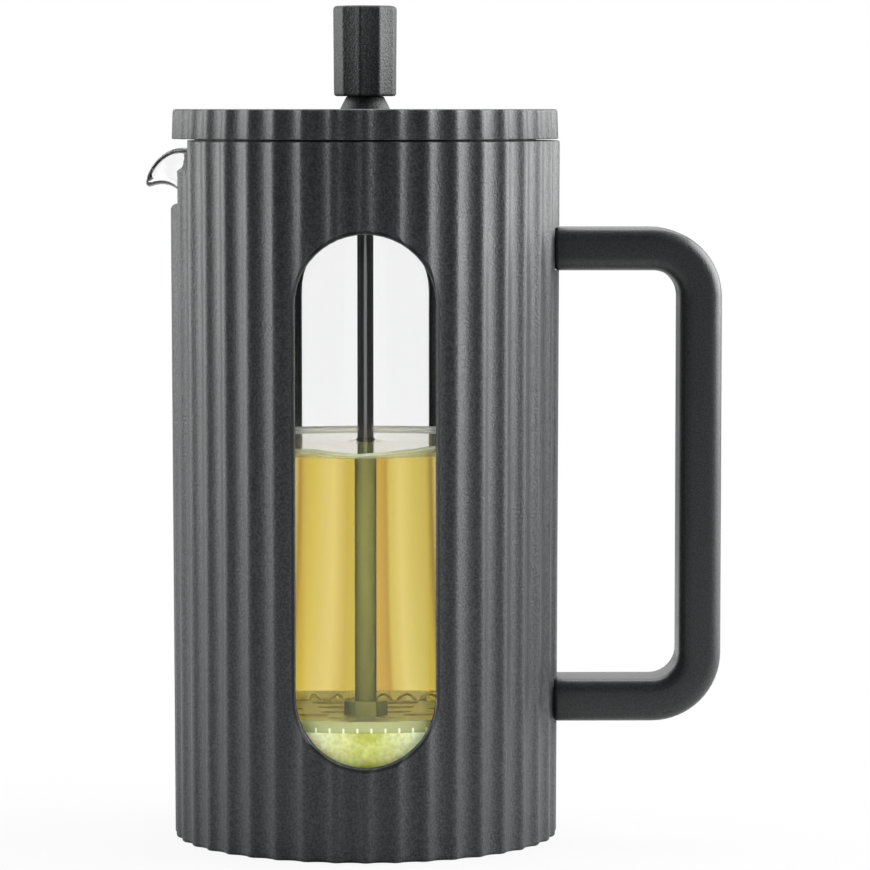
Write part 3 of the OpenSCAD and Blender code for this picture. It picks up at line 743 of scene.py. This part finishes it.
class PRESS_OT_handle(bpy.types.Operator):
    """Makes the squared handle with its two rounded bends, and finishes its screws."""

    bl_idname = "press.handle"
    bl_label = "Handle"

    def execute(self, context):
        s = context.scene.press_sizes
        low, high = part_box("handle")
        thick = s.handle_thickness
        lower_z, upper_z = arm_heights(s)
        bend_x = high.x - s.handle_bend
        mid_r = s.handle_bend - thick / 2
        bm = bmesh.new()
        bmesh.ops.create_grid(bm, x_segments=1, y_segments=1, size=0.5)
        bmesh.ops.scale(bm, verts=bm.verts[:], vec=(thick, high.y - low.y, 1))
        bmesh.ops.bevel(bm, geom=bm.verts[:], offset=s.handle_edge, segments=8, profile=0.5,
                        affect="VERTICES", material=-1)
        tip_over(bm)
        shift(bm, (low.x, 0, upper_z))
        tip = bm.verts[:] + bm.edges[:] + bm.faces[:]

        def run(vec, rows):
            nonlocal tip
            for _ in range(rows):
                tip = bmesh.ops.extrude_face_region(bm, geom=tip)["geom"]
                bmesh.ops.translate(bm, verts=verts_in(tip), vec=Vector(vec) / rows)

        def bend(z):
            nonlocal tip
            tip = bmesh.ops.spin(bm, geom=tip, cent=(bend_x, 0, z), axis=(0, 1, 0), dvec=(0, 0, 0),
                                 angle=math.pi / 2, steps=16)["geom_last"]

        run((bend_x - low.x, 0, 0), 4)
        bend(upper_z - mid_r)
        run((0, 0, lower_z - upper_z + 2 * mid_r), 6)
        bend(lower_z + mid_r)
        run((low.x - bend_x, 0, 0), 4)
        close_up(bm)
        rounded(bm, [e for e in bm.edges if all(abs(v.co.x - low.x) < 1e-6 for v in e.verts)], 1.2 * MM)
        piece(bm, "bent_handle", "handle_plastic", "vessel", ["handle"], 50)
        dress("upper_handle_screw", "turned_steel")
        dress("lower_handle_screw", "turned_steel")
        return {"FINISHED"}


def spout_point(s, glass_r, rim, turn, depth, z):
    """Where a point of the wall goes that lies at an angle from the spout, at a depth in the glass."""
    start = rim - s.spout_height
    half = math.asin(s.spout_width / 2 / glass_r)
    soft = 0.15

    def outside(u):
        w = math.cos(math.pi / 2 * turn / half) ** 2 if abs(turn) < half else 0
        w **= 1 + 3 * max(0, 1 - u)
        v = max(0, u)
        fall = (math.sqrt(1 + soft**2) - math.sqrt(1 - w * w + soft**2)) / (math.sqrt(1 + soft**2) - soft)
        return Vector((glass_r + s.spout_reach * w * (1.5 * v**2 - 0.5 * v**3),
                       start + s.spout_height * u - s.spout_drop * fall * v**2.3))

    u = (z - start) / s.spout_height
    along = (outside(min(1, u + 0.01)) - outside(u - 0.01)).normalized()
    at = outside(u) + depth * Vector((-along.y, along.x))
    return -at.x * math.cos(turn), -at.x * math.sin(turn), min(at.y, rim)


class PRESS_OT_beaker(bpy.types.Operator):
    """Makes the glass beaker with its drawn spout and fire-polished rim."""

    bl_idname = "press.beaker"
    bl_label = "Glass beaker"

    def execute(self, context):
        s = context.scene.press_sizes
        low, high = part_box("beaker")
        out_r, wall, rim = high.y, s.glass_wall, high.z
        in_r = out_r - wall
        spout_low = rim - s.spout_height - 1 * MM
        floor = low.z + s.glass_bottom
        corner = s.glass_corner
        rows = [spout_low + (rim - wall / 2 - spout_low) * i / 12 for i in range(13)]
        profile = [(0, low.z)]
        profile += arc(out_r - corner, low.z + corner, corner, -90, 0, 8)
        profile += [(out_r, z) for z in rows]
        profile += arc(out_r - wall / 2, rim - wall / 2, wall / 2, 22.5, 157.5, 6)
        profile += [(in_r, z) for z in reversed(rows)]
        profile += arc(in_r - corner + wall, floor + corner - wall, corner - wall, 0, -90, 8)
        profile += [(0, floor)]
        bm = turned(profile, 240)
        half = math.asin(s.spout_width / 2 / out_r)
        for vert in bm.verts:
            x, y, z = vert.co
            turn = math.atan2(-y, -x)
            if z > spout_low and abs(turn) < half:
                vert.co = spout_point(s, out_r, rim, turn, out_r - math.hypot(x, y), z)
        piece(bm, "glass_beaker", "beaker_glass", "beaker", ["beaker"], 60)
        return {"FINISHED"}


class PRESS_OT_lid(bpy.types.Operator):
    """Makes the fluted lid cap and the collar round the rod, and finishes the plug and seal."""

    bl_idname = "press.lid"
    bl_label = "Lid"

    def execute(self, context):
        s = context.scene.press_sizes
        low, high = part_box("lid_cap")
        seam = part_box("casing")[1].z + 0.4 * MM
        low_r, under = high.y, high.z - 2.4 * MM
        sleeve_r, boss_r, skirt_r = 4.65 * MM, 8 * MM, low_r - 3.6 * MM
        before, past, join = seam - 1 * MM, high.z + 1 * MM, 0.2 * MM
        drum = fluted_drum(s, low_r, low_r - 0.3 * MM, seam, high.z, 0.3 * MM, 0.8 * MM)
        hollow = turned([(boss_r, before), (skirt_r, before), (skirt_r, under), (boss_r, under)],
                        120, closed=True)
        hole = turned([(0, before), (sleeve_r, before), (sleeve_r, past), (0, past)], 64)
        cap = carved(drum, [hollow, hole])
        turned_ring(cap, 46.2 * MM, 48.2 * MM, low.z, under + join)
        turned_ring(cap, sleeve_r, boss_r, low.z, seam + join)
        piece(cap, "fluted_lid", "casing_plastic", "lid", ["lid_cap"], 32)
        self.collar()
        dress("lid_insert", "insert_plastic")
        dress("lid_seal", "silicone")
        dress("collar_nut", "turned_steel")
        dress("guide_bush", "bush_plastic")
        return {"FINISHED"}

    def collar(self):
        """The cone round the rod, whose stem goes down through the cap."""
        low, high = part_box("lid_collar")
        cap_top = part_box("lid_cap")[1].z
        out_r = high.x
        rod_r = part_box("plunger_rod")[1].x + 0.4 * MM
        bore_r, stem_r, lip = 3.65 * MM, 4.6 * MM, high.z - 1 * MM
        edge = 0.8 * MM
        profile = [(bore_r, low.z), (stem_r, low.z), (stem_r, cap_top), (out_r, cap_top)]
        profile += [(out_r - 0.6 * MM, cap_top + 1.3 * MM)]
        profile += arc(out_r - 2.3 * MM, high.z - edge, edge, 20, 84, 8)
        profile += [(rod_r, high.z), (rod_r, lip), (bore_r, lip)]
        bm = turned(profile, 96, closed=True)
        piece(bm, "rod_collar", "knob_plastic", "lid", ["lid_collar"], 35)


def turned_ring(bm, inner, outer, low, high):
    """Adds a ring to a bmesh without joining it to what is there."""
    ring = turned([(inner, low), (outer, low), (outer, high), (inner, high)], 120, closed=True)
    mesh = bpy.data.meshes.new("ring")
    ring.to_mesh(mesh)
    ring.free()
    bm.from_mesh(mesh)
    bpy.data.meshes.remove(mesh)


class PRESS_OT_knob(bpy.types.Operator):
    """Makes the knob with its hollow flutes and rounded ends, and finishes its insert."""

    bl_idname = "press.knob"
    bl_label = "Knob"

    def execute(self, context):
        s = context.scene.press_sizes
        low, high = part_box("knob")
        low_r = s.knob_low_radius
        centre = low_r - s.knob_flute_depth + s.knob_flute_radius
        pitch = 2 * math.pi / s.knob_flutes
        flute_points, first = 24, math.radians(99)
        bm = bmesh.new()
        bmesh.ops.create_circle(bm, cap_ends=True, segments=s.knob_flutes * flute_points, radius=low_r)
        for vert in bm.verts:
            turn = (math.atan2(vert.co.y, vert.co.x) + first) % pitch - pitch / 2
            root = s.knob_flute_radius**2 - (centre * math.sin(turn)) ** 2
            if root > 0:
                hollow = centre * math.cos(turn) - math.sqrt(root)
                vert.co *= min(1, hollow / low_r)
        raised(bm, low_r, s.knob_high_radius, low.z, high.z, 0.8 * MM, 1.2 * MM)
        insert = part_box("knob_insert")[1]
        hole_r, under = insert.x + 0.05 * MM, low.z - 1 * MM
        hole = turned([(0, under), (hole_r, under), (hole_r, insert.z), (0, insert.z)], 64)
        piece(carved(bm, [hole]), "fluted_knob", "knob_plastic", "plunger", ["knob"], 30)
        dress("knob_insert", "insert_brass")
        return {"FINISHED"}


class PRESS_OT_plunger(bpy.types.Operator):
    """Makes the rod, the woven filter and its edge spring, and finishes the plates."""

    bl_idname = "press.plunger"
    bl_label = "Plunger"

    def execute(self, context):
        s = context.scene.press_sizes
        self.rod(s)
        self.filter_mesh(s)
        self.spring(s)
        dress("filter_nut", "nut_steel")
        dress("spiral_plate", "filter_steel")
        dress("cross_plate", "filter_steel")
        return {"FINISHED"}

    def rod(self, s):
        low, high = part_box("plunger_rod")
        r, edge = s.rod_radius, 0.4 * MM
        bm = turned([(0, low.z), (r - edge, low.z), (r, low.z + edge),
                     (r, high.z - edge), (r - edge, high.z), (0, high.z)], 64)
        piece(bm, "polished_rod", "rod_painted_under_tea", "plunger", ["plunger_rod"])

    def filter_mesh(self, s):
        """A shallow dish of mesh, with a map that unrolls its wall and lays out its flat for the weave."""
        low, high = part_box("filter_mesh")
        r, thin = high.y, 0.3 * MM
        hole = s.rod_radius + 0.05 * MM
        corner = 1 * MM
        outer = [(hole, low.z)] + arc(r - corner, low.z + corner, corner, -90, 0, 5) + [(r, high.z)]
        inner = [(r - thin, high.z)] + arc(r - corner, low.z + corner, corner - thin, 0, -90, 5)
        inner += [(hole, low.z + thin)]
        bm = turned(outer + inner, 180, closed=True)
        weave = bm.loops.layers.uv.new("weave")
        for face in bm.faces:
            flat = abs(face.normal.z) > 0.7
            centre = face.calc_center_median()
            middle = math.atan2(centre.y, centre.x)
            for loop in face.loops:
                x, y, z = loop.vert.co
                turn = math.atan2(y, x)
                turn -= 2 * math.pi * round((turn - middle) / (2 * math.pi))
                across, along = (x, y) if flat else (turn * r, z)
                loop[weave].uv = (across / s.mesh_pitch, along / s.mesh_pitch)
        piece(bm, "filter_gauze", "woven_mesh", "plunger", ["filter_mesh"])

    def spring(self, s):
        """A coil laid round the filter's edge as a ring."""
        low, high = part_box("coil_spring")
        coil_r = (high.z - low.z) / 2 - s.spring_wire
        ring_r = high.y - (high.z - low.z) / 2
        middle = (low.z + high.z) / 2
        curve = bpy.data.curves.new("edge_spring", "CURVE")
        curve.dimensions = "3D"
        curve.bevel_depth = s.spring_wire
        curve.bevel_resolution = 1
        spline = curve.splines.new("POLY")
        count = s.spring_turns * 14
        spline.points.add(count - 1)
        for i, point in enumerate(spline.points):
            a = 2 * math.pi * i / count
            b = a * s.spring_turns
            r = ring_r + coil_r * math.cos(b)
            point.co = (r * math.cos(a), r * math.sin(a), middle + coil_r * math.sin(b), 1)
        spline.use_cyclic_u = True
        holder = bpy.data.objects.new("edge_spring_curve", curve)
        bpy.context.scene.collection.objects.link(holder)
        bm = evaluated(holder)
        bpy.data.objects.remove(holder)
        bpy.data.curves.remove(curve)
        close_up(bm)
        piece(bm, "edge_spring", "spring_steel", "plunger", ["coil_spring"], 80)


class PRESS_OT_drink(bpy.types.Operator):
    """Fills the beaker with tea and the wet leaves that the filter holds down."""

    bl_idname = "press.drink"
    bl_label = "Tea and leaves"

    def execute(self, context):
        s = context.scene.press_sizes
        low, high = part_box("beaker")
        gap = 0.08 * MM
        r = high.y - s.glass_wall - gap
        floor = low.z + s.glass_bottom + gap
        corner = s.glass_corner - s.glass_wall
        self.tea(s, r, floor, corner)
        self.leaves(r - 0.1 * MM, floor + 0.1 * MM, corner)
        return {"FINISHED"}

    def tea(self, s, r, floor, corner):
        """The tea, which climbs the glass and the rod, and says where it is frothy, with a painted sheen that
        is strongest at the front, and where it is top.
        """
        level = s.tea_level
        edge = ((0.1, -0.05), (0.3, -0.12), (0.8, -0.16), (1.6, -0.1), (3.0, -0.03), (4.5, 0))
        rise = ((5, 0), (2.6, 0.08), (1.4, 0.25), (0.6, 0.6), (0.1, 1.1))
        profile = [(0, floor)] + arc(r - corner, floor + corner, corner, -90, 0, 8)
        profile += [(r, level + up * MM) for up in (-1.4, -0.6, 0.02)]
        profile += [(r - inward * MM, level + up * MM) for inward, up in edge]
        profile += [(s.rod_radius + out * MM, level + up * MM) for out, up in rise]
        profile += [(s.rod_radius - 0.3 * MM, level + s.tea_climb), (0, level + s.tea_climb)]
        bm = turned(profile, 240)
        froth_and_sheen = bm.verts.layers.float.new("froth_and_sheen")
        skin = bm.verts.layers.float.new("skin")
        froth_and_sheen_width, meniscus = 0.4 * MM, 0.9 * MM
        for vert in bm.verts:
            x, y, z = vert.co
            inward = r - math.hypot(x, y)
            if z < level - 0.7 * MM:
                continue
            # Marks for painted light: the top's skin at the back near the glass is painted pale as a
            # reflection, and the froth along the glass, partly a painted sheen, is strongest at the front and
            # gone at the back.
            at_back = y > 0 and inward < 1.2 * MM
            vert[skin] = 2 if at_back else inward > 0.2 * MM
            vert[froth_and_sheen] = max(0, 1 - inward / froth_and_sheen_width) * (0.5 - 0.5 * y / r)
            if inward < 4 * MM:
                vert.co.z += self.climb(math.atan2(x, -y)) * math.exp(-inward / meniscus)
        piece(bm, "green_tea", "green_tea", "beaker", sharp=60)

    def climb(self, turn):
        """How far the tea climbs the glass at an angle from the front: least in the middle of a window."""
        side = 26
        near = min(abs(math.degrees(turn)), side)
        rise = 0.25 + 0.8 * (1 - math.cos(math.pi * near / side))
        front = 0.5 + 0.5 * math.cos(turn)
        ripple = 0.8 * math.sin(turn) + 0.1 * math.sin(turn * 17) + 0.06 * math.sin(turn * 41)
        return (1 - front + front * (rise + ripple)) * MM

    def leaves(self, r, floor, corner):
        """The leaves, which fill the beaker up to the filter and stand up a little along the glass."""
        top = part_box("filter_mesh")[0].z
        rows, rings = 12, 16
        profile = [(0, floor)] + arc(r - corner, floor + corner, corner, -90, 0, 8)
        start = floor - 0.1 * MM + corner
        profile += [(r, start + (top - start) * (i + 1) / rows) for i in range(rows)]
        profile += [(r, top + 0.5 * MM), (r - 0.3 * MM, top + 0.4 * MM), (r - 1.2 * MM, top)]
        profile += [(r * i / rings, top) for i in range(rings - 1, -1, -1)]
        bm = turned(profile, 180)
        piece(bm, "wet_leaves", "wet_leaves", "beaker", sharp=60)


class PRESS_OT_stage(bpy.types.Operator):
    """Makes the pale floor, the studio lights, the surroundings and the camera."""

    bl_idname = "press.stage"
    bl_label = "Stage"

    def execute(self, context):
        self.floor(context)
        self.surroundings(context)
        self.softbox("right_softbox", (0.76, 0.08, 0.45), 0.15, (0.95, 0.8), 16)
        self.softbox("left_softbox", (-0.82, 0.12, 0.4), 0.15, (0.85, 0.7), 8.5)
        self.softbox("top_softbox", (0, 0.55, 0.9), 0.12, (1, 0.4), 4)
        self.camera(context)
        context.scene.view_settings.view_transform = "Standard"
        return {"FINISHED"}

    def floor(self, context):
        """A pale floor that fades into the backdrop away from the press."""
        bm = bmesh.new()
        bmesh.ops.create_grid(bm, x_segments=8, y_segments=8, size=4)
        material, tree, shader = new_material("pale_floor")
        fill(shader, base_color=context.scene.press_colours.floor, roughness=0.7)
        away = tree.nodes.new("ShaderNodeVectorMath")
        away.operation = "LENGTH"
        give(away.inputs[0], place(tree))
        share = ramp(Value(away.outputs["Value"]), 0.05, 0.4, 0.9, 1.0)
        path, seen = self.rays(tree)
        glow = add(tree, "Emission", color=self.backdrop(place(tree), path))
        mixed_surface(tree, seen * share, glow)
        new_object(bm, "pale_floor", material)

    def rays(self, tree):
        """What a ray has been through, and whether it is seen straight or through glass."""
        outputs = tree.nodes.new("ShaderNodeLightPath").outputs
        path = {output.name: Value(output) for output in outputs}
        return path, maths("MAXIMUM", path["Is Camera Ray"], path["Is Transmission Ray"])

    def backdrop(self, vector, path):
        """White, with warm cards that only show through the drink, and a strong fill for what stands in it.
        The fill comes only from straight ahead and behind, and mirrored rays meet a dark front."""
        white, gain, span = (1, 1, 1), 1.13, 20
        x, y, _ = axes(vector)
        turn = maths("ARCTAN2", x, y) * (1 / math.radians(span)) + 0.5
        cards = ((-10, (0.75, 0.76, 0.77)), (-9.4, (0.42, 0.38, 0.33)), (-8.6, (0.72, 0.68, 0.37)),
                 (-6.7, (0.80, 0.82, 0.48)), (-4.7, (0.97, 1.0, 0.93)), (-3.2, (0.82, 0.80, 0.52)),
                 (-2.75, (0.62, 0.50, 0.22)), (-1.2, (0.80, 0.64, 0.33)), (1.3, (0.75, 0.77, 0.29)),
                 (2.4, (0.74, 0.70, 0.37)), (4.3, (1.0, 1.0, 0.95)), (5.5, (0.93, 0.94, 0.79)),
                 (7.2, (0.86, 0.84, 0.40)), (8.7, (0.75, 0.68, 0.38)), (9.4, (0.55, 0.42, 0.27)),
                 (10, (0.75, 0.76, 0.77)))
        card = stepped(turn, [(0.5 + at / span, [gain * part for part in tone]) for at, tone in cards])
        behind = blended(path["Transmission Depth"] > 4.5, white, card)
        ahead = blended(path["Glossy Depth"] > 0.5, white, (0.28, 0.29, 0.30))
        around = blended(y < 0.0, behind, ahead)
        inside = (path["Diffuse Depth"] > 0.5) * (abs(x) < abs(y) * 0.4)
        lit = blended(inside, around, (9.5, 9.5, 9.5))
        return blended(path["Is Transmission Ray"], white, lit)

    def surroundings(self, context):
        """A room that is light behind and dark in front for mirrored rays, dim for the rest, and the
        backdrop where it is seen."""
        world = bpy.data.worlds.new("studio")
        context.scene.world = world
        world.use_nodes = True
        tree = world.node_tree
        view = add(tree, "TexCoord", "Generated")
        path, seen = self.rays(tree)
        behind = axes(view)[1] * 0.5 + 0.5
        shade = ramp(behind, 0.35, 0.6, (0.10, 0.11, 0.115), (1.0, 1.0, 1.0))
        dim = blended(path["Is Diffuse Ray"], shade, (0.16, 0.16, 0.17))
        fill(tree.nodes["Background"], color=blended(seen, dim, self.backdrop(view, path)))

    def softbox(self, name, at, aim_z, size, power):
        """A rectangular light that points at the press, and that isn't seen through its glass."""
        light = bpy.data.lights.new(name, "AREA")
        light.shape = "RECTANGLE"
        light.size, light.size_y = size
        light.energy = power
        obj = bpy.data.objects.new(name, light)
        obj.location = at
        obj.rotation_euler = (Vector((0, 0, aim_z)) - Vector(at)).to_track_quat("-Z", "Y").to_euler()
        obj.visible_transmission = False
        bpy.context.scene.collection.objects.link(obj)

    def camera(self, context):
        """A long lens in front of the press, a little over it."""
        data = bpy.data.cameras.new("camera")
        data.sensor_width = 36
        data.lens = 184.2
        data.clip_start, data.clip_end = 0.1, 20
        obj = bpy.data.objects.new("camera", data)
        obj.location = (0, -1.26, 0.206)
        obj.rotation_euler = (math.radians(90 - 4.188), 0, math.radians(-0.897))
        context.scene.collection.objects.link(obj)
        context.scene.camera = obj


PIECES = (PRESS_OT_casing, PRESS_OT_handle, PRESS_OT_beaker, PRESS_OT_lid, PRESS_OT_knob, PRESS_OT_plunger,
          PRESS_OT_drink, PRESS_OT_stage)


class PRESS_PT_panel(bpy.types.Panel):
    """Lists the pieces of the press."""

    bl_idname = "PRESS_PT_panel"
    bl_label = "French Press"
    bl_space_type = "VIEW_3D"
    bl_region_type = "UI"
    bl_category = "Press"

    def draw(self, context):
        column = self.layout.column()
        for operator in PIECES:
            column.operator(operator.bl_idname)
        for group in (context.scene.press_sizes, context.scene.press_colours):
            for name in group.bl_rna.properties.keys():
                if name not in ("rna_type", "name"):
                    column.prop(group, name)


CLASSES = (PressSizes, PressColours, *PIECES, PRESS_PT_panel)


def register():
    for cls in CLASSES:
        bpy.utils.register_class(cls)
    bpy.types.Scene.press_sizes = PointerProperty(type=PressSizes)
    bpy.types.Scene.press_colours = PointerProperty(type=PressColours)


def unregister():
    del bpy.types.Scene.press_colours
    del bpy.types.Scene.press_sizes
    for cls in reversed(CLASSES):
        bpy.utils.unregister_class(cls)


def main():
    register()
    bpy.ops.press.casing()
    bpy.ops.press.handle()
    bpy.ops.press.beaker()
    bpy.ops.press.lid()
    bpy.ops.press.knob()
    bpy.ops.press.plunger()
    bpy.ops.press.drink()
    bpy.ops.press.stage()
    bpy.context.view_layer.update()


if __name__ == "__main__":
    main()
